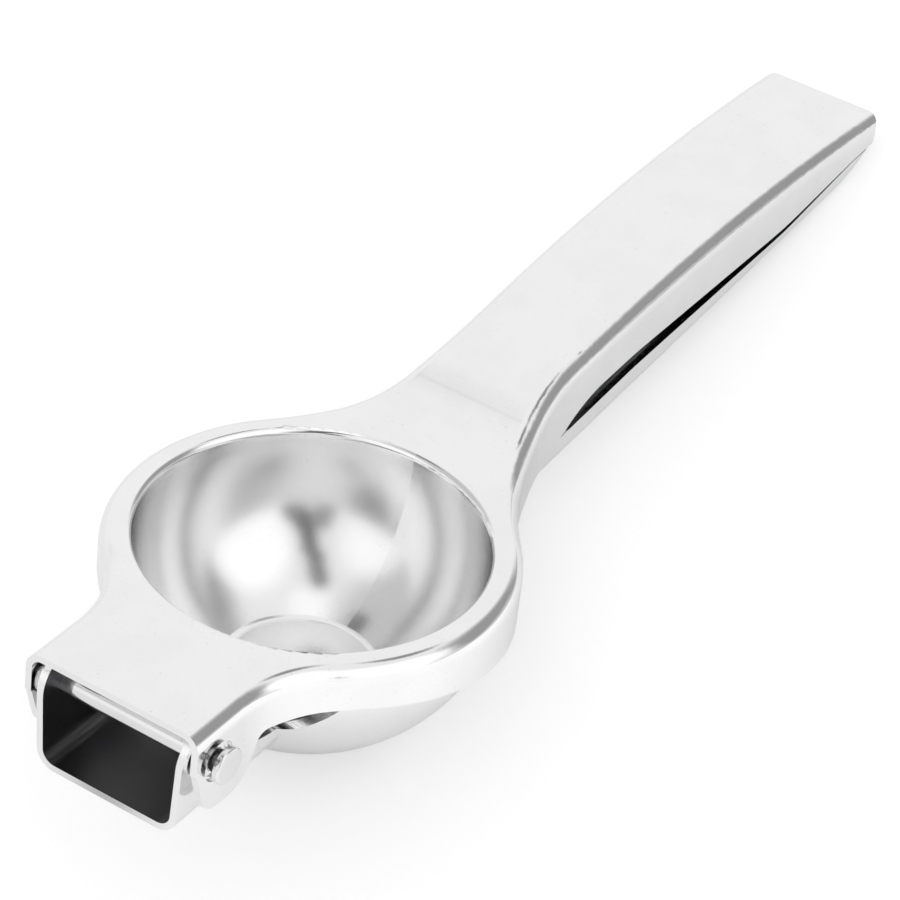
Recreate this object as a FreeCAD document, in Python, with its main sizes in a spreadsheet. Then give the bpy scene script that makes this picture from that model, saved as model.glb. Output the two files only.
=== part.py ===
# Hinged lemon squeezer: two halves stamped from steel sheet, turning on a pin in two pieces.
# Everything is built in the frame of the upper plate (x from the hinge end to the handle's end,
# z = 0 on the flat flange round the cup) and then laid down as the squeezer lies on a table.
import FreeCAD, Part
import Sketcher
import math
import os

V = FreeCAD.Vector
doc = FreeCAD.newDocument("lemon_squeezer")
sheet = doc.addObject("Spreadsheet::Sheet", "Sizes")

SIZES = [
    ("sheet_thickness", 1.2, "steel sheet of both halves"),
    ("bend_radius", 3.0, "outside radius of every long bend"),
    ("overall_length", 220.0, "front of the tongue to the end of the upper handle"),
    ("tongue_width", 33.0, "over the two ears"),
    ("cup_center", 52.6, "front of the tongue to the axis of the cup"),
    ("cup_radius", 29.2, "opening of the press cup"),
    ("cup_lip", 1.2, "rounded lip between flange and cup"),
    ("cup_depth", 27.4, "flange to the flat floor of the cup"),
    ("cup_knuckle", 3.0, "rounding between the cup's wall and its floor"),
    ("press_gap", 1.3, "gap between the cup's back and the bowl, at the rim"),
    ("floor_gap", 3.2, "gap between the floors of the cup and the bowl"),
    ("neck_fillet", 60.0, "plan radius where the handle leaves the flange"),
    ("tongue_fillet", 20.0, "plan radius where the tongue meets the flange"),
    ("handle_width_neck", 22.4, "over the handle at the neck"),
    ("handle_width_end", 25.7, "over the handle at its end"),
    ("ramp_start", 91.2, "where the upper handle starts to climb"),
    ("ramp_angle", 22.0, "steepest climb of the neck"),
    ("ramp_length", 15.0, "length of the climbing stretch"),
    ("ramp_foot_radius", 38.0, "hollow curve at the foot of the climb"),
    ("ramp_top_radius", 58.0, "round curve at the top of the climb"),
    ("arch_rise_angle", 8.2, "slope of the arched handle after the neck"),
    ("arch_fall_angle", 4.1, "slope of the arched handle at its end"),
    ("arch_radius", 500.0, "curve of the arched handle"),
    ("crest_setback", 54.0, "handle's end back to the middle of the arch"),
    ("end_corner", 2.6, "rounded corners of the upper handle's end"),
    ("pin_setback", 5.8, "front of the tongue to the pin's axis"),
    ("pin_drop", 7.9, "top of the tongue down to the pin's axis"),
    ("ear_depth", 17.0, "top of the tongue down to the tip of the ear"),
    ("ear_length", 15.4, "front of the tongue to the back of the ear"),
    ("arch_drop", 8.6, "depth of the skirt just behind the ear"),
    ("skirt_drop_front", 7.8, "depth of the skirt in front of the cup"),
    ("skirt_drop_side", 10.9, "depth of the skirt beside the cup"),
    ("skirt_drop_back", 13.2, "depth of the skirt behind the cup"),
    ("throat_drop", 6.4, "depth of the upper half where the handles part"),
    ("throat_place", 111.0, "front of the tongue to where the handles part"),
    ("slit_drop", 0.6, "edge of the upper handle above the widest slit"),
    ("slit_width", 3.1, "widest slit between the closed handles"),
    ("slit_run", 23.0, "where the handles part to the widest slit"),
    ("grip_rise", 1.3, "edge of the upper handle where the slit closes"),
    ("grip_slit", 0.9, "slit between the handles there"),
    ("grip_setback", 34.0, "handle's end back to where the slit closes"),
    ("end_rise", 6.0, "edge of the upper handle at its end"),
    ("seat_play", 0.1, "pressed seat of each ear, wider than the pin's head"),
    ("seat_taper", 0.2, "slope of the seat's edge"),
    ("seat_depth", 0.8, "depth of that seat"),
    ("pin_diameter", 3.9, "pin across the hinge"),
    ("pin_head_diameter", 6.4, "heads of the pin"),
    ("pin_head_thickness", 1.1, "thickness of each head"),
    ("pin_end_play", 1.8, "shank that shows beside the right ear"),
    ("stud_diameter", 3.7, "shoulder of the stud, beside the barrel"),
    ("head_rounding", 0.35, "rounded rim of each head"),
    ("head_gap", 0.05, "play under the stud's head"),
    ("rod_diameter", 2.2, "thin end of the stud inside the barrel"),
    ("rod_length", 9.0, "length of that thin end"),
    ("seam_inset", 2.8, "pin seam, inward from the channel's left wall"),
    ("pin_fit", 0.06, "radial play of the pin in the ears"),
    ("wall_fit", 0.02, "radial play of the pin in the channel"),
    ("rod_fit", 0.02, "radial play of the thin end in the barrel"),
    ("side_gap", 0.2, "play between the ears' seats and the channel"),
    ("nest_gap", 0.3, "gap between the bowl and the skirt round it"),
    ("edge_gap", 0.2, "gap between the edges of the closed handles"),
    ("bowl_floor_margin", 0.43, "flat floor of the bowl, wider than the cup's"),
    ("bowl_foot_radius", 4.0, "rounding round the bowl's flat floor"),
    ("bowl_rim_drop", 5.0, "flange down to the bowl's rim"),
    ("channel_depth", 21.0, "flange down to the underside of the front channel"),
    ("channel_draft", 0.9, "each wall leans in by this at the floor"),
    ("channel_corner", 3.6, "rounded lower corner of the channel"),
    ("boss_radius", 6.0, "end of the channel's wall round the pin"),
    ("wall_dip", 12.8, "flange down to the channel's walls behind the pin"),
    ("dip_run", 14.5, "how far that dip runs back, under the skirt's arch"),
    ("dip_fall", 3.4, "how much deeper it is at its back end"),
    ("handle_floor_drop", 12.6, "flange down to the lower handle at the throat"),
    ("handle_end_drop", 0.9, "flange down to the lower handle where its end curves up"),
    ("handle_end_curve", 32.0, "upward curve of the lower handle's end"),
    ("handle_curve_setback", 15.2, "handle's end back to where that curve starts"),
    ("handle_end_turn", 33.0, "how far that curve turns up"),
    ("lower_end_setback", 3.0, "lower handle's end, short of the upper's"),
    ("hole_diameter", 4.0, "drain holes of the bowl"),
    ("inner_ring_radius", 8.0, "inner ring of drain holes"),
    ("inner_ring_count", 6, "number of holes in the inner ring"),
    ("outer_ring_radius", 16.0, "outer ring of drain holes"),
    ("outer_ring_count", 12, "number of holes in the outer ring"),
]
for row, (alias, value, note) in enumerate(SIZES, start=1):
    sheet.set("A%d" % row, alias)
    sheet.set("B%d" % row, str(value))
    sheet.set("C%d" % row, note)
    sheet.setAlias("B%d" % row, alias)
doc.recompute()


def size(alias):
    return float(sheet.get(alias))


T = size("sheet_thickness")
LENGTH = size("overall_length")
CUP_X = size("cup_center")
PIN_X = size("pin_setback")
PIN_Z = -size("pin_drop")
EAR_Y = size("tongue_width") / 2
WALL_Y = EAR_Y - T - size("seat_depth") - size("side_gap")
# From the inside out: cup, bowl and skirt, each one sheet thick, with a gap between them.
BOWL_R = size("cup_radius") + T + size("press_gap") + T
# The cup's ball is centred at the lip, or lower down in a cup deeper than its ball.
CUP_BALL = size("cup_radius") - size("cup_knuckle")
CUP_RUN = size("cup_depth") - size("cup_knuckle")
CUP_DROP = max(size("cup_lip"), CUP_RUN - math.sqrt(CUP_BALL ** 2 - (0.4 * size("cup_radius")) ** 2))
BOWL_FLOOR_R = math.sqrt(CUP_BALL ** 2 - (CUP_RUN - CUP_DROP) ** 2) + size("bowl_floor_margin")
SKIRT_R = BOWL_R + size("nest_gap") + T
SKIRT_TEXT = "(Sizes.cup_radius + 3 * Sizes.sheet_thickness + Sizes.press_gap + Sizes.nest_gap)"
BOWL_DEPTH = size("cup_depth") + T + size("floor_gap") + T
HIGH = 2 * BOWL_DEPTH
OVER = 20.0  # how far rough blocks stand past the finished piece


def direction(degrees):
    angle = math.radians(degrees)
    return V(math.cos(angle), math.sin(angle), 0)


def add(kind, name, **links):
    """One object of the document, with its plain properties set."""
    made = doc.addObject(kind, name)
    for prop, value in links.items():
        setattr(made, prop, value)
    return made


def bind(made, **expressions):
    """Ties properties of an object to cells of the sheet."""
    for prop, text in expressions.items():
        made.setExpression(prop, text)
    return made


def shifted(points, amount):
    """Moves a path of straight runs sideways, to its right, by one amount."""
    lines = []
    for start, end in zip(points, points[1:]):
        run = end.sub(start).normalize()
        side = V(run.y, -run.x, 0).multiply(amount)
        lines.append((start.add(side), run))
    moved = [lines[0][0]]
    for (point, run), (other, other_run) in zip(lines, lines[1:]):
        cross = run.x * other_run.y - run.y * other_run.x
        step = other.sub(point)
        along = (step.x * other_run.y - step.y * other_run.x) / cross
        moved.append(point.add(V(run).multiply(along)))
    last = points[-1].sub(points[-2]).normalize()
    moved.append(points[-1].add(V(last.y, -last.x, 0).multiply(amount)))
    return moved


def fitted(points, radii, closed=True):
    """The same radii, each made smaller where two arcs would meet on a short run."""
    count = len(points)
    kept = list(radii)
    tangents = []
    for index in range(count):
        before = points[index - 1].sub(points[index])
        after = points[(index + 1) % count].sub(points[index])
        half = before.getAngle(after) / 2
        tangents.append(1 / math.tan(half) if 0 < index < count - 1 or closed else 0.0)
    for index in range(count if closed else count - 1):
        follower = (index + 1) % count
        run = points[follower].sub(points[index]).Length
        used = kept[index] * tangents[index] + kept[follower] * tangents[follower]
        if used > 0.98 * run:
            kept[index] *= 0.98 * run / used
            kept[follower] *= 0.98 * run / used
    return kept


def rounded_edges(points, radii, closed=True):
    """Straight runs between the points, with an arc of its own radius at each point."""
    count = len(points)
    trims = []
    for index, (corner, radius) in enumerate(zip(points, radii)):
        if radius <= 0:
            trims.append((corner, corner, None))
            continue
        before = points[index - 1].sub(corner).normalize()
        after = points[(index + 1) % count].sub(corner).normalize()
        half = before.getAngle(after) / 2
        reach = radius / math.tan(half)
        middle = before.add(after).normalize()
        centre = corner.add(V(middle).multiply(radius / math.sin(half)))
        top = centre.sub(V(middle).multiply(radius))
        trims.append((corner.add(before.multiply(reach)), corner.add(after.multiply(reach)), top))
    shapes = []
    for index, (first, last, top) in enumerate(trims):
        if top is not None:
            shapes.append(Part.Arc(first, top, last))
        follower = trims[(index + 1) % count][0]
        if (closed or index < count - 1) and last.sub(follower).Length > 1e-6:
            shapes.append(Part.LineSegment(last, follower))
    return shapes


def sketch(name, shapes, plane):
    """A sketch of joined lines and arcs on one of the three main planes."""
    made = doc.addObject("Sketcher::SketchObject", name)
    turns = {
        "XY": FreeCAD.Rotation(),
        "XZ": FreeCAD.Rotation(V(1, 0, 0), 90),
        "YZ": FreeCAD.Rotation(V(1, 1, 1), 120),
    }
    made.Placement = FreeCAD.Placement(V(), turns[plane])
    made.addGeometry(shapes, False)
    ends = []
    for index in range(len(shapes)):
        for which in (1, 2):
            ends.append((index, which, made.getPoint(index, which)))
    for number, (index, which, point) in enumerate(ends):
        for other_index, other_which, other in ends[number + 1:]:
            if other_index != index and point.sub(other).Length < 1e-5:
                made.addConstraint(Sketcher.Constraint("Coincident", index, which, other_index, other_which))
    return made


def slab(name, shapes, plane, reach):
    """A closed sketch thickened evenly to both sides of its plane."""
    base = sketch(name + "_sketch", shapes, plane)
    normal = {"XY": V(0, 0, 1), "XZ": V(0, 1, 0), "YZ": V(1, 0, 0)}[plane]
    made = add("Part::Extrusion", name, Base=base, DirMode="Custom", Dir=normal, Solid=True, Symmetric=True)
    made.LengthFwd = reach
    return made


def turned(name, shapes):
    """A closed sketch beside the upright axis, turned once round the cup's axis."""
    base = sketch(name + "_sketch", shapes, "XZ")
    made = add("Part::Revolution", name, Source=base, Axis=V(0, 0, 1), Base=V(0, 0, 0), Angle=360.0, Solid=True)
    made.Placement = FreeCAD.Placement(V(CUP_X, 0, 0), FreeCAD.Rotation())
    made.setExpression("Placement.Base.x", "Sizes.cup_center")
    return made


def fillet(name, base, chosen):
    """Rounds the edges that the test picks, each with the radius that it returns."""
    doc.recompute()
    edges = []
    for number, edge in enumerate(base.Shape.Edges, start=1):
        radius = chosen(edge)
        if radius:
            edges.append((number, radius, radius))
    made = add("Part::Fillet", name, Base=base)
    made.Edges = edges
    doc.recompute()
    return made


def samples(edge):
    first, last = edge.ParameterRange
    return [edge.valueAt(first + (last - first) * step / 6) for step in range(7)]


# Plan of a half: tongue, round flange and handle in one block, with hollow curves between them.
def plan_block(name, inset, round_radius, tongue_half, handle_inset):
    disc = add("Part::Cylinder", name + "_disc")
    bind(disc, Radius=round_radius)
    disc.Height = 2 * HIGH
    disc.Placement.Base = V(CUP_X, 0, -HIGH)
    disc.setExpression("Placement.Base.x", "Sizes.cup_center")
    doc.recompute()
    runs = [V(-OVER, -tongue_half, 0), V(CUP_X, -tongue_half, 0), V(CUP_X, tongue_half, 0), V(-OVER, tongue_half, 0)]
    tongue = slab(name + "_tongue", rounded_edges(runs, [0] * 4), "XY", 2 * HIGH)
    neck = size("handle_width_neck") / 2 - handle_inset
    end = size("handle_width_end") / 2 - handle_inset
    slope = (end - neck) / (LENGTH - size("ramp_start"))
    near = neck - slope * (size("ramp_start") - CUP_X)
    far = end + slope * OVER
    runs = [V(CUP_X, -near, 0), V(LENGTH + OVER, -far, 0), V(LENGTH + OVER, far, 0), V(CUP_X, near, 0)]
    handle = slab(name + "_handle", rounded_edges(runs, [0] * 4), "XY", 2 * HIGH)
    block = add("Part::MultiFuse", name + "_plan", Shapes=[disc, tongue, handle], Refine=True)

    def corner(edge):
        ends = samples(edge)
        if abs(ends[0].x - ends[-1].x) + abs(ends[0].y - ends[-1].y) > 1e-6:
            return 0
        off = math.hypot(ends[0].x - CUP_X, ends[0].y)
        if abs(off - disc.Radius.Value) > 1e-4:
            return 0
        return (size("tongue_fillet") if ends[0].x < CUP_X else size("neck_fillet")) + inset
    return fillet(name + "_block", block, corner)


# Side view of the upper half's sheet: level over the cup, a climb at the neck, then a long arch.
def top_line():
    climb = direction(size("ramp_angle")).multiply(size("ramp_length"))
    rise = direction(size("arch_rise_angle"))
    foot = V(size("ramp_start"), 0, 0)
    brow = foot.add(climb)
    crest = brow.add(rise.multiply((LENGTH - size("crest_setback") - brow.x) / rise.x))
    fall = direction(-size("arch_fall_angle"))
    end = crest.add(fall.multiply((LENGTH + OVER - crest.x) / fall.x))
    radii = [0, size("ramp_foot_radius"), size("ramp_top_radius"), size("arch_radius"), 0]
    points = [V(-OVER, 0, 0), foot, brow, crest, end]
    return points, fitted(points, radii, False)


def upper_solid(name, inset):
    tongue_half = EAR_Y - inset
    block = plan_block(name, inset, SKIRT_TEXT + " - %.1f * Sizes.sheet_thickness" % (inset / T), tongue_half, inset)
    points, radii = top_line()
    line = shifted(points, inset)
    bends = [radii[0], radii[1] + inset, radii[2] - inset, radii[3] - inset, radii[4]]
    low = -HIGH
    closed = line + [V(line[-1].x, low, 0), V(line[0].x, low, 0)]
    side = slab(name + "_side", rounded_edges(closed, bends + [0, 0]), "XZ", 4 * SKIRT_R)
    whole = add("Part::MultiCommon", name + "_whole", Shapes=[block, side])

    def brim(edge):
        marks = samples(edge)
        if abs(marks[0].y - marks[-1].y) > 0.9 * 2 * (size("handle_width_neck") / 2 - inset) and \
                abs(marks[0].x - marks[-1].x) < 1e-6:
            return 0
        upper = [mark for mark in marks if mark.z > -inset - 1e-4]
        inside = all(abs(mark.x) < LENGTH + OVER - 0.1 for mark in marks)
        return size("bend_radius") - inset if len(upper) == len(marks) and inside else 0
    return fillet(name + "_bent", whole, brim)


outer = upper_solid("upper_outer", 0.0)
inner = upper_solid("upper_inner", T)
shell = add("Part::Cut", "upper_shell", Base=outer, Tool=inner)


def arc_between(centre, radius, first, last, inward=False):
    """Arc of a circle in the side view, from one place on it to another."""
    middle = first.add(last).multiply(0.5).sub(centre).normalize()
    return Part.Arc(first, centre.add(middle.multiply(radius)), last)


def dish(name, radius, drop, floor, foot, top, lip=0.0):
    """A round dish: flat floor, rounded foot, ball-shaped wall, then an upright or flared rim."""
    centre = V(0, -drop, 0)
    foot_x = math.sqrt((radius - foot) ** 2 - (floor - foot - drop) ** 2)
    foot_centre = V(foot_x, foot - floor, 0)
    leave = centre.add(foot_centre.sub(centre).normalize().multiply(radius))
    axis_low = V(0, -floor, 0)
    foot_low = V(foot_x, -floor, 0)
    equator = V(radius, -drop, 0)
    shapes = [Part.LineSegment(axis_low, foot_low), arc_between(foot_centre, foot, foot_low, leave)]
    shapes.append(arc_between(centre, radius, leave, equator))
    edge = equator
    if lip:
        bend = V(radius, -lip, 0)
        if drop > lip:
            shapes.append(Part.LineSegment(equator, bend))
        edge = V(radius + lip, 0, 0)
        shapes.append(arc_between(V(radius + lip, -lip, 0), lip, bend, edge))
    rim = V(edge.x, top, 0)
    axis_high = V(0, top, 0)
    shapes.append(Part.LineSegment(edge, rim))
    shapes.append(Part.LineSegment(rim, axis_high))
    shapes.append(Part.LineSegment(axis_high, axis_low))
    return turned(name, shapes)


def crosswise(name, radius, start, end, tip=None):
    """A round bar or cone along the pin's axis, from one y to another."""
    kind = "Part::Cylinder" if tip is None else "Part::Cone"
    made = doc.addObject(kind, name)
    made.Height = end - start
    if tip is None:
        made.Radius = radius
    else:
        made.Radius1 = radius
        made.Radius2 = tip
    made.Placement = FreeCAD.Placement(V(PIN_X, start, PIN_Z), FreeCAD.Rotation(V(1, 0, 0), -90))
    made.setExpression("Placement.Base.x", "Sizes.pin_setback")
    made.setExpression("Placement.Base.z", "-Sizes.pin_drop")
    return made


# Lower edge of the upper half: ears, arch behind them, skirt round the cup, then the handle's edge.
def place(x, drop):
    return V(x, -drop, 0)


front_x = 0.0
ear_back = size("ear_length")
throat_x = size("throat_place")
slit_x = throat_x + size("slit_run")
grip_x = LENGTH - size("grip_setback")
skirt_front = CUP_X - 0.66 * SKIRT_R
skirt_back = CUP_X + 0.66 * SKIRT_R
neck_back = CUP_X + SKIRT_R + size("bend_radius")
upper_edge = [
    (place(-OVER, 7.0), 0),
    (place(front_x, 7.0), 2),
    (place(front_x + 3.0, size("ear_depth")), 4.5),
    (place(ear_back - 2.6, size("ear_depth")), 4.5),
    (place(ear_back + 0.8, size("arch_drop")), 2.5),
    (place(ear_back + 5.0, size("arch_drop")), 6),
    (place(skirt_front, size("skirt_drop_front")), 15),
    (place(CUP_X, size("skirt_drop_side")), 60),
    (place(skirt_back, size("skirt_drop_back")), 30),
    (place(neck_back, size("skirt_drop_back") - 0.6), 12),
    (place(throat_x, size("throat_drop")), 18),
    (place(throat_x + 8.0, 2.1), 25),
    (place(slit_x, size("slit_drop")), 100),
    (place(grip_x, -size("grip_rise")), 100),
    (place(LENGTH - 10, -size("end_rise") + 1.2), 40),
    (place(LENGTH + OVER, -size("end_rise") - 1.6), 0),
]
low = -2 * HIGH
points = [point for point, radius in upper_edge] + [V(LENGTH + OVER, low, 0), V(-OVER, low, 0)]
radii = [radius for point, radius in upper_edge] + [0, 0]
under = slab("upper_under", rounded_edges(points, fitted(points, radii)), "XZ", 4 * SKIRT_R)
past_front = [V(-2 * OVER, low, 0), V(0, low, 0), V(0, -low, 0), V(-2 * OVER, -low, 0)]
end_y = size("handle_width_end") / 2
wide = 2 * SKIRT_R
past_end = [V(LENGTH - 12, -wide, 0), V(LENGTH + 2 * OVER, -wide, 0), V(LENGTH + 2 * OVER, wide, 0)]
past_end += [V(LENGTH - 12, wide, 0), V(LENGTH - 12, end_y, 0), V(LENGTH, end_y, 0)]
past_end += [V(LENGTH, -end_y, 0), V(LENGTH - 12, -end_y, 0)]
end_radii = [0, 0, 0, 0, 0, size("end_corner"), size("end_corner"), 0]
before = slab("before_tongue", rounded_edges(past_front, [0] * 4), "XZ", 4 * SKIRT_R)
behind = slab("behind_handle", rounded_edges(past_end, end_radii), "XY", 2 * HIGH)

# The press cup is drawn down from the flange.
lip = size("cup_lip")
cup_r = size("cup_radius")
knuckle = size("cup_knuckle")
cup_floor = size("cup_depth")
cup_back = dish("cup_back", cup_r + T, CUP_DROP, cup_floor + T, knuckle + T, 0.0)
cup_hollow = dish("cup_hollow", cup_r, CUP_DROP, cup_floor, knuckle, OVER / 4, lip)

# Each ear has a seat pressed inward round its hole.
seats = []
seat_cuts = []
for side, hole in ((-1, "pin_diameter"), (1, "stud_diameter")):
    word = "right" if side < 0 else "left"
    taper = size("seat_taper")
    radius = size("pin_head_diameter") / 2 + size("seat_play") + taper
    depth = size("seat_depth")
    face = side * EAR_Y
    back = side * (EAR_Y - T)
    if side < 0:
        boss = crosswise("seat_" + word, radius + T / 2, back, back + depth, radius + T / 2 - taper)
        pocket = crosswise("pocket_" + word, radius, face, face + depth, radius - taper)
    else:
        boss = crosswise("seat_" + word, radius + T / 2 - taper, back - depth, back, radius + T / 2)
        pocket = crosswise("pocket_" + word, radius - taper, face - depth, face, radius)
    seats.append(boss)
    span = sorted((0.6 * face, 1.2 * face))
    bore = crosswise("ear_hole_" + word, size(hole) / 2 + size("pin_fit"), span[0], span[1])
    bore.setExpression("Radius", "Sizes.%s / 2 + Sizes.pin_fit" % hole)
    seat_cuts += [pocket, bore]

trimmed = add("Part::Cut", "upper_trimmed", Base=shell)
trimmed.Tool = add("Part::MultiFuse", "upper_waste", Shapes=[under, before, behind])
pressed = add("Part::MultiFuse", "upper_pressed", Shapes=[trimmed, cup_back] + seats)
upper = add("Part::Cut", "upper_half", Base=pressed)
upper.Tool = add("Part::MultiFuse", "upper_openings", Shapes=[cup_hollow] + seat_cuts)

# Lower half: bowl under the cup, open channel under the tongue, shallow handle.
throat_floor = place(throat_x - 2.5, size("handle_floor_drop"))
curve_start = place(LENGTH - size("handle_curve_setback"), size("handle_end_drop"))
floor_slope = curve_start.sub(throat_floor).normalize()
bowl_foot = size("bowl_foot_radius")
bowl_drop = BOWL_DEPTH - bowl_foot - math.sqrt((BOWL_R - bowl_foot) ** 2 - BOWL_FLOOR_R ** 2)


def floor_point(x):
    return throat_floor.add(V(floor_slope).multiply((x - throat_floor.x) / floor_slope.x))


def lower_solid(name, inset):
    bowl = dish(name + "_bowl", BOWL_R - inset, bowl_drop, BOWL_DEPTH - inset, bowl_foot - inset, OVER / 4)
    wall = WALL_Y - inset
    depth = size("channel_depth") - inset
    lean = size("channel_draft") * depth / size("channel_depth")
    section = [V(-wall, 0, 0), V(-wall + lean, -depth, 0), V(wall - lean, -depth, 0), V(wall, 0, 0)]
    round_corner = size("channel_corner") - inset
    channel = slab(name + "_channel", rounded_edges(section, [0, round_corner, round_corner, 0]), "YZ", 2 * CUP_X)
    neck = size("handle_width_neck") / 2 - inset
    end = size("handle_width_end") / 2 - inset
    slope = (end - neck) / (LENGTH - size("ramp_start"))
    near = neck - slope * (size("ramp_start") - CUP_X)
    far = end + slope * OVER
    runs = [V(CUP_X, -near, 0), V(LENGTH + OVER, -far, 0), V(LENGTH + OVER, far, 0), V(CUP_X, near, 0)]
    wedge = slab(name + "_wedge", rounded_edges(runs, [0] * 4), "XY", 2 * HIGH)
    reach = size("handle_end_curve") * math.tan(math.radians(size("handle_end_turn") / 2))
    turn = curve_start.add(V(floor_slope).multiply(reach))
    base_angle = math.degrees(math.atan2(floor_slope.y, floor_slope.x))
    last = turn.add(direction(base_angle + size("handle_end_turn")).multiply(reach + OVER))
    line = shifted([floor_point(CUP_X - 5), turn, last], -inset)
    closed = line + [V(line[-1].x, 3 * OVER, 0), V(line[0].x, 3 * OVER, 0)]
    bends = [0, size("handle_end_curve") - inset, 0, 0, 0]
    side = slab(name + "_floor", rounded_edges(closed, bends), "XZ", 4 * SKIRT_R)
    handle = add("Part::MultiCommon", name + "_grip", Shapes=[wedge, side])

    def keel(edge):
        marks = samples(edge)
        if abs(marks[0].y - marks[-1].y) > near or abs(marks[0].x - marks[-1].x) < 1e-6:
            return 0
        if min(abs(mark.y) for mark in marks) < 0.5 * near or max(mark.z for mark in marks) > 2 * OVER:
            return 0
        return size("bend_radius") - inset
    bent = fillet(name + "_bent", handle, keel)
    return add("Part::MultiFuse", name, Shapes=[bowl, channel, bent], Refine=True)


lower_outer = lower_solid("lower_outer", 0.0)
lower_inner = lower_solid("lower_inner", T)
lower_shell = add("Part::Cut", "lower_shell", Base=lower_outer, Tool=lower_inner)

edge_gap = size("edge_gap")
channel_front = PIN_X - size("boss_radius")
boss_top = size("pin_drop") - size("boss_radius")
boss_back = PIN_X + size("boss_radius")
lower_end = LENGTH - size("lower_end_setback")
rim = size("bowl_rim_drop")
lower_edge = [
    (place(channel_front, -low), 0),
    (place(channel_front, boss_top), size("boss_radius") - 0.01),
    (place(boss_back, boss_top), size("boss_radius") - 0.01),
    (place(boss_back, size("wall_dip")), 2),
    (place(boss_back + size("dip_run"), size("wall_dip") + size("dip_fall")), 2.5),
    (place(CUP_X - 0.62 * BOWL_R, rim), 4),
    (place(CUP_X + BOWL_R - 1.0, rim), 1.5),
    (place(neck_back, size("skirt_drop_back") - 0.6 + edge_gap), 4),
    (place(throat_x, size("throat_drop") + edge_gap), 10),
    (place(slit_x, size("slit_drop") + size("slit_width")), 60),
    (place(grip_x, size("grip_slit") - size("grip_rise")), 60),
    (place(LENGTH - 10, edge_gap + 1.2 - size("end_rise")), 20),
    (place(LENGTH + OVER, edge_gap - 1.6 - size("end_rise")), 0),
]
high = 2 * HIGH
lower_edge[0] = (V(channel_front, -high, 0), 0)
points = [point for point, radius in lower_edge]
points += [V(LENGTH + OVER, high, 0), V(-2 * CUP_X, high, 0), V(-2 * CUP_X, -high, 0)]
radii = [radius for point, radius in lower_edge] + [0, 0, 0]
above = slab("lower_above", rounded_edges(points, fitted(points, radii)), "XZ", 4 * SKIRT_R)
past = [V(lower_end, -high, 0), V(LENGTH + 2 * OVER, -high, 0), V(LENGTH + 2 * OVER, high, 0), V(lower_end, high, 0)]
after = slab("behind_lower", rounded_edges(past, [0] * 4), "XZ", 4 * SKIRT_R)
lower_holes = []
for word, side, hole in (("right", -1, "pin_diameter"), ("left", 1, "stud_diameter")):
    span = sorted((0.4 * side * WALL_Y, 1.3 * side * WALL_Y))
    bore = crosswise("wall_hole_" + word, size(hole) / 2 + size("wall_fit"), span[0], span[1])
    bore.setExpression("Radius", "Sizes.%s / 2 + Sizes.wall_fit" % hole)
    lower_holes.append(bore)
rings = [(1, 0.0, "middle")]
rings.append((int(size("inner_ring_count")), size("inner_ring_radius"), "inner"))
rings.append((int(size("outer_ring_count")), size("outer_ring_radius"), "outer"))
for count, radius, word in rings:
    for number in range(count):
        turn = direction(360.0 * number / count + 180.0 / max(count, 1))
        hole = add("Part::Cylinder", "drain_%s_%d" % (word, number + 1))
        bind(hole, Radius="Sizes.hole_diameter / 2")
        hole.Height = BOWL_DEPTH
        hole.Placement.Base = V(CUP_X + radius * turn.x, radius * turn.y, -1.4 * BOWL_DEPTH)
        lower_holes.append(hole)
lower = add("Part::Cut", "lower_half", Base=lower_shell)
lower.Tool = add("Part::MultiFuse", "lower_openings", Shapes=[above, after] + lower_holes)

# The pin: a headed barrel from the right and a headed stud pushed into it from the left.
seam = WALL_Y - T - size("seam_inset")
head_r = size("pin_head_diameter") / 2
thick = size("pin_head_thickness")
barrel_face = -EAR_Y + size("seat_depth") - size("pin_end_play")
stud_face = EAR_Y - size("seat_depth") + size("head_gap")
rod_end = seam - size("rod_length")


def rounded_head(name, start, end, outer_y):
    disc = crosswise(name + "_disc", head_r, start, end)
    disc.setExpression("Radius", "Sizes.pin_head_diameter / 2")
    disc.setExpression("Height", "Sizes.pin_head_thickness")

    def rim_edge(edge):
        flat = all(abs(mark.y - outer_y) < 1e-6 for mark in samples(edge))
        return size("head_rounding") if flat else 0
    return fillet(name, disc, rim_edge)


barrel_head = rounded_head("barrel_head", barrel_face - thick, barrel_face, barrel_face - thick)
barrel_shank = crosswise("barrel_shank", size("pin_diameter") / 2, barrel_face - thick / 2, seam)
barrel_shank.setExpression("Radius", "Sizes.pin_diameter / 2")
bore = crosswise("barrel_bore", size("rod_diameter") / 2 + size("rod_fit"), rod_end - 1.0, seam + 1.0)
bore.setExpression("Radius", "Sizes.rod_diameter / 2 + Sizes.rod_fit")
barrel_whole = add("Part::MultiFuse", "barrel_whole", Shapes=[barrel_head, barrel_shank], Refine=True)
barrel = add("Part::Cut", "pin_barrel", Base=barrel_whole, Tool=bore)
stud_head = rounded_head("stud_head", stud_face, stud_face + thick, stud_face + thick)
stud_shank = crosswise("stud_shank", size("stud_diameter") / 2, seam, stud_face + thick / 2)
stud_shank.setExpression("Radius", "Sizes.stud_diameter / 2")
rod = crosswise("stud_rod", size("rod_diameter") / 2, rod_end, seam + 1.0)
rod.setExpression("Radius", "Sizes.rod_diameter / 2")
stud = add("Part::MultiFuse", "pin_stud", Shapes=[stud_head, stud_shank, rod], Refine=True)
doc.recompute()

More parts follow.
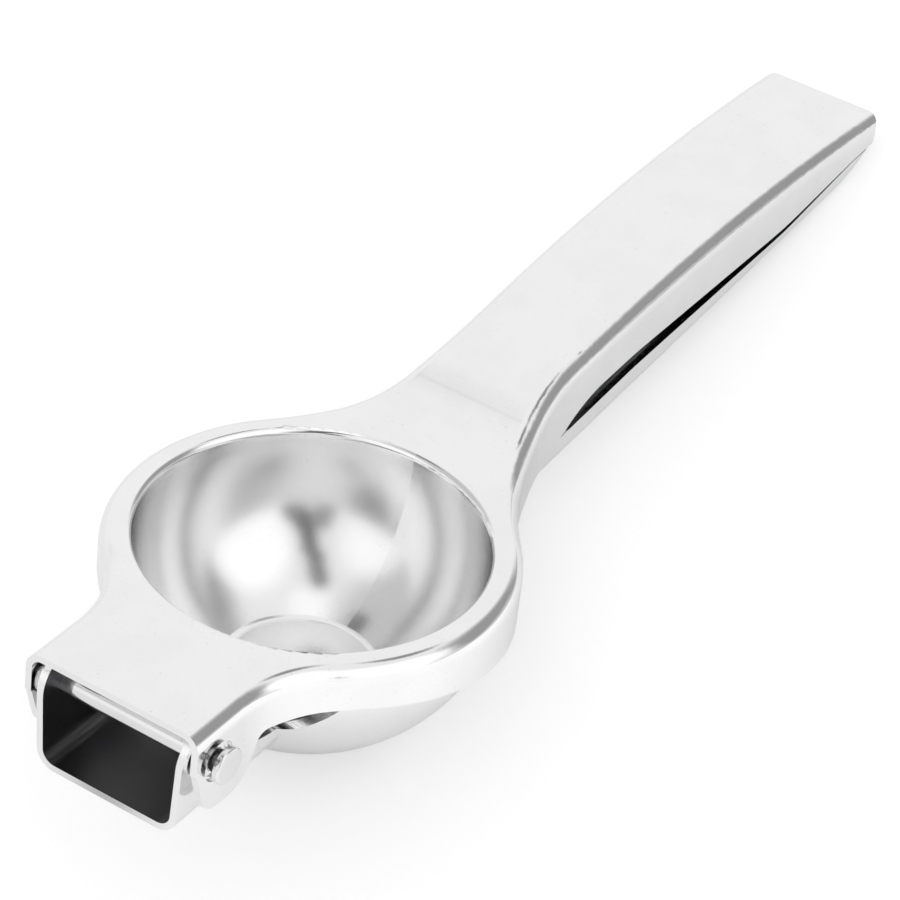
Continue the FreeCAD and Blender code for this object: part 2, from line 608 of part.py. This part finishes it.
# Laid on a table: the bowl's rounded foot and the curved end of the lower handle both touch it.
foot_x = CUP_X + BOWL_FLOOR_R
foot_z = bowl_foot - BOWL_DEPTH
curl = size("handle_end_curve")
curl_x = curve_start.x - curl * floor_slope.y
curl_z = curve_start.y + curl * floor_slope.x
across = curl_x - foot_x
tall = curl_z - foot_z
lean = math.acos((curl - bowl_foot) / math.hypot(across, tall)) - math.atan2(across, tall)
print("resting lean", math.degrees(lean))
pieces = [upper, lower, barrel, stud]
lay = FreeCAD.Rotation(V(0, 1, 0), math.degrees(lean))
boxes = []
for piece in pieces:
    shape = piece.Shape.copy()
    shape.Placement = FreeCAD.Placement(V(), lay).multiply(shape.Placement)
    boxes.append(shape.optimalBoundingBox(False))
left = min(box.XMin for box in boxes)
right = max(box.XMax for box in boxes)
floor_z = foot_z * math.cos(lean) - foot_x * math.sin(lean) - bowl_foot
home = FreeCAD.Placement(V(-(left + right) / 2, 0, -floor_z), lay)
print("home", home.Base.x, home.Base.z, math.degrees(lean))
for piece in pieces:
    piece.Placement = home
    piece.Label = piece.Name
doc.recompute()

for item in doc.Objects:
    if "Invalid" in item.State or "Error" in item.State:
        raise RuntimeError("failed: " + item.Name)
os.makedirs("parts", exist_ok=True)
for piece in pieces:
    shape = piece.Shape
    if shape.isNull() or not shape.isValid() or len(shape.Solids) != 1:
        raise RuntimeError("bad shape: %s %d" % (piece.Label, len(shape.Solids)))
    print(piece.Label, "volume", round(shape.Volume, 1), "box", shape.BoundBox)
    shape.exportStep("parts/%s.step" % piece.Label)
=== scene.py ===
"""Hinged lemon squeezer in polished stamped steel, lying closed on a white table in soft studio light."""
import math

import bpy
from mathutils import Matrix, Vector

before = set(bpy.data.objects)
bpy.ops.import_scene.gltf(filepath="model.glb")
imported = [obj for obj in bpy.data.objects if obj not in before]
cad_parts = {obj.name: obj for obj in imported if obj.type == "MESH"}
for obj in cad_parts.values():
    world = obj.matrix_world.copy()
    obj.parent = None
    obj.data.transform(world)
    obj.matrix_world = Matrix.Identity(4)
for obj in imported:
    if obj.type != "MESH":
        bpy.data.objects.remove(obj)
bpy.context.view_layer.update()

# Where the squeezer's forms lie, in metres. It rests on its bowl and its handle's end, so its plate leans.
PLATE_LEAN = math.radians(12.9205)
PLATE_FRONT = (-0.105946, 0, 0.046844)
PLATE = Matrix.Translation(PLATE_FRONT) @ Matrix.Rotation(PLATE_LEAN, 4, "Y")
CUP_CENTRE = PLATE @ Vector((0.0526, 0, 0))
CUP_AXIS = (PLATE.to_3x3() @ Vector((0, 0, 1))).normalized()
CHANNEL_MIDDLE = PLATE @ Vector((0.008, 0, -0.010))

# Each pair says where a finish of the steel starts and where it is whole.
CUP_RADII = (0.0300, 0.0292)  # from the cup's axis, inwards
CUP_HEIGHTS = (-0.0010, -0.0025)  # along that axis, down from the plate
CHANNEL_RADII = (0.0305, 0.0325)  # from the cup's axis, outwards
CHANNEL_LENGTHS = (-0.070, -0.078)  # along X, towards the hinge
CHANNEL_FACING = (0.1, 0.35)  # cosine of the angle between a face and the channel's middle

# Patterns per metre: specks in cells of 0.56 mm, and the buffing wheel's clouds in cells of 11 mm.
# Real pits in buffed sheet are finer, and are drawn this coarse so that they show.
SPECK_SCALE = 1800.0
CLOUD_SCALE = 90.0
# Noise where the wear starts, noise where it is whole, and the least and most of it.
PITS = (0.36, 0.28, 0.0, 0.30)
BUFFING = (0.62, 0.38, 0.0, 0.06)
WORN_SHADE = 0.6  # brightness of steel that is wholly worn
CLOUD_ROUGHNESS = 0.08
DULL_ROUGHNESS = 0.22
GRAIN_HEIGHT = 0.00002


def colour(hexcode):
    """Linear colour of an sRGB hex code, with full alpha."""
    parts = [int(hexcode[i:i + 2], 16) / 255 for i in (0, 2, 4)]
    return [p / 12.92 if p <= 0.04045 else ((p + 0.055) / 1.055) ** 2.4 for p in parts] + [1.0]


def node(tree, kind, inputs=(), output=0, **settings):
    """Adds a node and gives one of its outputs.

    Settings are its properties. Inputs come in order or by name, each a constant or an output to link.
    """
    made = tree.nodes.new(kind)
    for name, value in settings.items():
        setattr(made, name, value)
    for name, value in inputs.items() if isinstance(inputs, dict) else enumerate(inputs):
        if isinstance(value, bpy.types.NodeSocket):
            tree.links.new(value, made.inputs[name])
        else:
            made.inputs[name].default_value = value
    return made.outputs[output] if made.outputs else None


def new_material(name):
    """An empty material and its node tree."""
    made = bpy.data.materials.new(name)
    made.use_nodes = True
    made.node_tree.nodes.clear()
    return made, made.node_tree


def direction(azimuth, elevation):
    """Unit vector of a direction in degrees; azimuth 0 is the handle's end, 90 the far left side."""
    a, e = math.radians(azimuth), math.radians(elevation)
    return Vector((math.cos(e) * math.cos(a), math.cos(e) * math.sin(a), math.sin(e)))


def steel(name, tint, polished, in_cup, grain, painted_shade_tint=None):
    """Polished steel with tiny pits, soft clouds from the buffing wheel and fine grain.

    polished is its roughness, in_cup its roughness inside the press cup, and grain the strength of its bump.
    With painted_shade_tint, faces that look into the front channel get a rougher finish and are darkened to
    that tint as painted shade.
    """
    made, tree = new_material(name)
    place = node(tree, "ShaderNodeTexCoord", output="Object")

    # Distance from the cup's axis and height along it tell which faces lie inside the cup.
    offset = node(tree, "ShaderNodeVectorMath", [place, CUP_CENTRE], operation="SUBTRACT")
    height = node(tree, "ShaderNodeVectorMath", [offset, CUP_AXIS], "Value", operation="DOT_PRODUCT")
    sideways = node(tree, "ShaderNodeVectorMath", [offset, CUP_AXIS], operation="CROSS_PRODUCT")
    radius = node(tree, "ShaderNodeVectorMath", [sideways], "Value", operation="LENGTH")
    within = node(tree, "ShaderNodeMapRange", [radius, *CUP_RADII], interpolation_type="SMOOTHSTEP")
    below = node(tree, "ShaderNodeMapRange", [height, *CUP_HEIGHTS], interpolation_type="SMOOTHSTEP")
    cup = node(tree, "ShaderNodeMath", [within, below], operation="MULTIPLY")

    # Roughness: the buffed value, a little uneven with the clouds, and softer inside the cup.
    speck = node(tree, "ShaderNodeTexNoise", {
        "Vector": place, "Scale": SPECK_SCALE, "Detail": 3.0, "Roughness": 0.6})
    cloud = node(tree, "ShaderNodeTexNoise", {
        "Vector": place, "Scale": CLOUD_SCALE, "Detail": 4.0, "Roughness": 0.55})
    uneven = node(tree, "ShaderNodeMath", [cloud, 0.5], operation="SUBTRACT")
    uneven = node(tree, "ShaderNodeMath", [uneven, CLOUD_ROUGHNESS], operation="MULTIPLY")
    satin = node(tree, "ShaderNodeMath", [polished, uneven], operation="ADD")
    softer = node(tree, "ShaderNodeMath", [cup, in_cup - polished], operation="MULTIPLY")
    satin = node(tree, "ShaderNodeMath", [satin, softer], operation="ADD")

    # Colour: the tint, at most 12 percent darker in the pits and 2 percent in the clouds.
    pits = node(tree, "ShaderNodeMapRange", [speck, *PITS], interpolation_type="SMOOTHSTEP")
    buffing = node(tree, "ShaderNodeMapRange", [cloud, *BUFFING], interpolation_type="SMOOTHSTEP")
    worn = node(tree, "ShaderNodeMath", [pits, buffing], operation="ADD")
    shade = [WORN_SHADE * part for part in colour(tint)[:3]] + [1.0]
    hue = node(tree, "ShaderNodeMix", {
        "Factor": worn, "A": colour(tint), "B": shade}, "Result", data_type="RGBA")

    if painted_shade_tint:
        # Faces of the channel look towards the line along its middle; the cup's own faces are left out.
        inward = node(tree, "ShaderNodeVectorMath", [CHANNEL_MIDDLE, place], operation="SUBTRACT")
        inward = node(tree, "ShaderNodeVectorMath", [inward, (0.0, 1.0, 1.0)], operation="MULTIPLY")
        inward = node(tree, "ShaderNodeVectorMath", [inward], operation="NORMALIZE")
        normal = node(tree, "ShaderNodeNewGeometry", output="Normal")
        facing = node(tree, "ShaderNodeVectorMath", [inward, normal], "Value", operation="DOT_PRODUCT")
        facing = node(tree, "ShaderNodeMapRange", [facing, *CHANNEL_FACING], interpolation_type="SMOOTHSTEP")
        outside = node(tree, "ShaderNodeMapRange", [radius, *CHANNEL_RADII], interpolation_type="SMOOTHSTEP")
        along = node(tree, "ShaderNodeSeparateXYZ", [place], "X")
        ahead = node(tree, "ShaderNodeMapRange", [along, *CHANNEL_LENGTHS], interpolation_type="SMOOTHSTEP")
        cavity = node(tree, "ShaderNodeMath", [facing, outside], operation="MULTIPLY")
        cavity = node(tree, "ShaderNodeMath", [cavity, ahead], operation="MULTIPLY")
        duller = node(tree, "ShaderNodeMath", [cavity, DULL_ROUGHNESS], operation="MULTIPLY")
        satin = node(tree, "ShaderNodeMath", [satin, duller], operation="ADD")
        # Painted shade: the channel's faces take the dark tint in place of the shade that falls inside the
        # channel.
        hue = node(tree, "ShaderNodeMix", {
            "Factor": cavity, "A": hue, "B": colour(painted_shade_tint)}, "Result", data_type="RGBA")

    bump = node(tree, "ShaderNodeBump", {"Strength": grain, "Distance": GRAIN_HEIGHT, "Height": speck})
    shader = node(tree, "ShaderNodeBsdfPrincipled", {
        "Base Color": hue, "Metallic": 1.0, "Roughness": satin, "Normal": bump})
    node(tree, "ShaderNodeOutputMaterial", {"Surface": shader})
    return made


FINISHES = {
    # Stainless sheet, stamped and buffed: a bright mirror outside, with satin reflections in the cup.
    "upper_half": steel("buffed sheet steel", "efefef", polished=0.10, in_cup=0.20, grain=0.25),
    # The same sheet, rougher inside the front channel and darkened there with painted shade: its mouth looks
    # dark and flat under the pin.
    "lower_half": steel("buffed sheet steel, dull with painted shade inside", "efefef", polished=0.10, in_cup=0.20, grain=0.25,
                        painted_shade_tint="6c6c6e"),
    # Steel rod turned and tumbled: a slightly greyer, softer shine on the head and the bar.
    "pin_barrel": steel("turned pin steel", "e4e4e4", polished=0.14, in_cup=0.14, grain=0.15),
    # The same, darker and softer still, so that the seam between the pin's two pieces shows.
    "pin_stud": steel("darker turned steel", "b4b4b5", polished=0.18, in_cup=0.18, grain=0.15),
}
for name, finish in FINISHES.items():
    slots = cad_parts[name].data.materials
    slots.clear()
    slots.append(finish)

# White table, large enough to fill every view. The camera sees it pale, with the squeezer's shadow.
TABLE_SIZE = 8
bpy.ops.mesh.primitive_plane_add(size=TABLE_SIZE)
table = bpy.context.object
table.name = "white_table"
table_white, tree = new_material("white table")
glossy_ray = node(tree, "ShaderNodeLightPath", output="Is Glossy Ray")
camera_ray = node(tree, "ShaderNodeLightPath", output="Is Camera Ray")
spot = node(tree, "ShaderNodeTexCoord", output="Object")


def across_table(azimuth):
    """Distance over the table in one direction from its middle, in metres."""
    return node(tree, "ShaderNodeVectorMath", [spot, direction(azimuth, 0)], "Value", operation="DOT_PRODUCT")


# The polished steel sees a brighter pool of light on the table's near side: it whitens the skirt and the bowl.
POOL_AZIMUTH = 250
POOL = (0.02, 0.09, 0.0, 0.22)
pool = node(tree, "ShaderNodeMapRange", [across_table(POOL_AZIMUTH), *POOL], interpolation_type="SMOOTHSTEP")
pool = node(tree, "ShaderNodeMath", [pool, glossy_ray], operation="MULTIPLY")

# It sees the table grow dim in a wedge to the handle's near side: the thin dark line along the near bend.
WEDGE_AZIMUTH, WEDGE_ASIDE = 318, 48
WEDGE = (0.08, 0.20, 0.0, 0.65)
aside = node(tree, "ShaderNodeMath", [across_table(WEDGE_ASIDE)], operation="ABSOLUTE")
wedge = node(tree, "ShaderNodeMath", [across_table(WEDGE_AZIMUTH), aside], operation="SUBTRACT")
dim = node(tree, "ShaderNodeMapRange", [wedge, *WEDGE], interpolation_type="SMOOTHSTEP")
dim = node(tree, "ShaderNodeMath", [dim, glossy_ray], operation="MULTIPLY")

# To the camera the table is light grey, lifted by a glow until it is about as white as the background.
CAMERA_GLOW = 0.45
white = node(tree, "ShaderNodeMix", {
    "Factor": dim, "A": colour("f7f7f7"), "B": colour("404040")}, "Result", data_type="RGBA")
white = node(tree, "ShaderNodeMix", {
    "Factor": camera_ray, "A": white, "B": colour("d0d0d0")}, "Result", data_type="RGBA")
matte = node(tree, "ShaderNodeBsdfDiffuse", {"Color": white})
lift = node(tree, "ShaderNodeMath", [camera_ray, CAMERA_GLOW], operation="MULTIPLY")
lift = node(tree, "ShaderNodeMath", [pool, lift], operation="ADD")
glow = node(tree, "ShaderNodeEmission", {"Color": colour("ffffff"), "Strength": lift})
surface = node(tree, "ShaderNodeAddShader", [matte, glow])
node(tree, "ShaderNodeOutputMaterial", {"Surface": surface})
table.data.materials.append(table_white)

# Studio: the world lights everything evenly in white, and only reflections see its bright and dark sides.
# Each round patch has an azimuth, an elevation, the angle up to which it is whole, the angle where it ends,
# and a level. A later patch lies over an earlier one. The hollow cup shows left and right swapped.
ROOM_LEVEL = 0.95
ROOM = [
    (25, 25, 30, 65, 0.99),  # wall past the handle's end, which the flat plate reflects
    (325, 10, 18, 37, 0.36),  # grey side of the room: the line along the near bend, two dark spots in the cup
    (345, 54, 3, 11, 0.30),  # small dark patch above it: a stroke on the neck's near bend
    (105, 45, 15, 42, 0.62),  # grey far side: two soft grey areas in the cup
    (89, 62, 3, 9, 0.10),  # small black patch above it: a spot low in the cup
    (255, 5, 15, 30, 1.15),  # low light on the near side: a thin bright line on the skirt's bend
    (271, 33, 20, 34, 1.22),  # softbox on the right: the cup's left bright patch, a line on the skirt's bend
    (166, 38, 10, 28, 1.15),  # softbox on the left: the cup's right bright patch, shine on the front edge
    (300, 85, 6, 16, 1.15),  # light overhead: the bright patch low in the cup
    # The dark gap between the softboxes: the dark stem in the cup, and stripes on its walls.
    (230, 25, 3, 11, 0.17),
    (224, 34, 3, 10, 0.10),
    (222, 43, 2, 8, 0.08),
    (222, 51, 2, 8, 0.08),
    (216, 59, 2, 8, 0.08),
    (215, 67, 2, 8, 0.08),
    (209, 73, 2, 8, 0.08),
    # The gap's foot: the top of that stem.
    (208, 26, 3, 10, 0.22),
    (210, 34, 3, 8, 0.28),
]
BACKGROUND_LEVEL = 1.05
SOFT_LEVEL = 1.0
world = bpy.data.worlds.new("white studio")
bpy.context.scene.world = world
world.use_nodes = True
tree = world.node_tree
tree.nodes.clear()
aim = node(tree, "ShaderNodeTexCoord", output="Generated")
room = ROOM_LEVEL
for azimuth, elevation, whole, end, level in ROOM:
    middle = direction(azimuth, elevation)
    toward = node(tree, "ShaderNodeVectorMath", [aim, middle], "Value", operation="DOT_PRODUCT")
    limits = [math.cos(math.radians(end)), math.cos(math.radians(whole))]
    inside = node(tree, "ShaderNodeMapRange", [toward, *limits], interpolation_type="SMOOTHSTEP")
    room = node(tree, "ShaderNodeMix", {"Factor": inside, "A": room, "B": level}, "Result")
seen, mirrored, soft = [
    node(tree, "ShaderNodeBackground", {"Color": colour("ffffff"), "Strength": strength})
    for strength in (BACKGROUND_LEVEL, room, SOFT_LEVEL)]
glossy_ray = node(tree, "ShaderNodeLightPath", output="Is Glossy Ray")
camera_ray = node(tree, "ShaderNodeLightPath", output="Is Camera Ray")
lit = node(tree, "ShaderNodeMixShader", [glossy_ray, soft, mirrored])
lit = node(tree, "ShaderNodeMixShader", [camera_ray, lit, seen])
node(tree, "ShaderNodeOutputWorld", {"Surface": lit})

# Camera at the photograph's angle: above the front right corner, with a long lens.
CAMERA_TARGET = Vector((-0.02109, -0.00364, 0.02738))
CAMERA_AZIMUTH = 180 + 35.646
CAMERA_ELEVATION = 46.427
CAMERA_ROLL = math.radians(-2.095)
CAMERA_DISTANCE = 0.62233
CAMERA_LENS, CAMERA_SENSOR = 148.85, 36  # millimetres
back = direction(CAMERA_AZIMUTH, CAMERA_ELEVATION)
right = (-back).cross(Vector((0, 0, 1))).normalized()
upward = right.cross(-back)
turn = Matrix((right, upward, back)).transposed().to_4x4()
camera = bpy.data.objects.new("camera", bpy.data.cameras.new("camera"))
bpy.context.collection.objects.link(camera)
stand = Matrix.Translation(CAMERA_TARGET + back * CAMERA_DISTANCE)
camera.matrix_world = stand @ turn @ Matrix.Rotation(CAMERA_ROLL, 4, "Z")
camera.data.lens = CAMERA_LENS
camera.data.sensor_width = CAMERA_SENSOR
camera.data.dof.use_dof = False
bpy.context.scene.camera = camera
bpy.context.scene.view_settings.view_transform = "Standard"
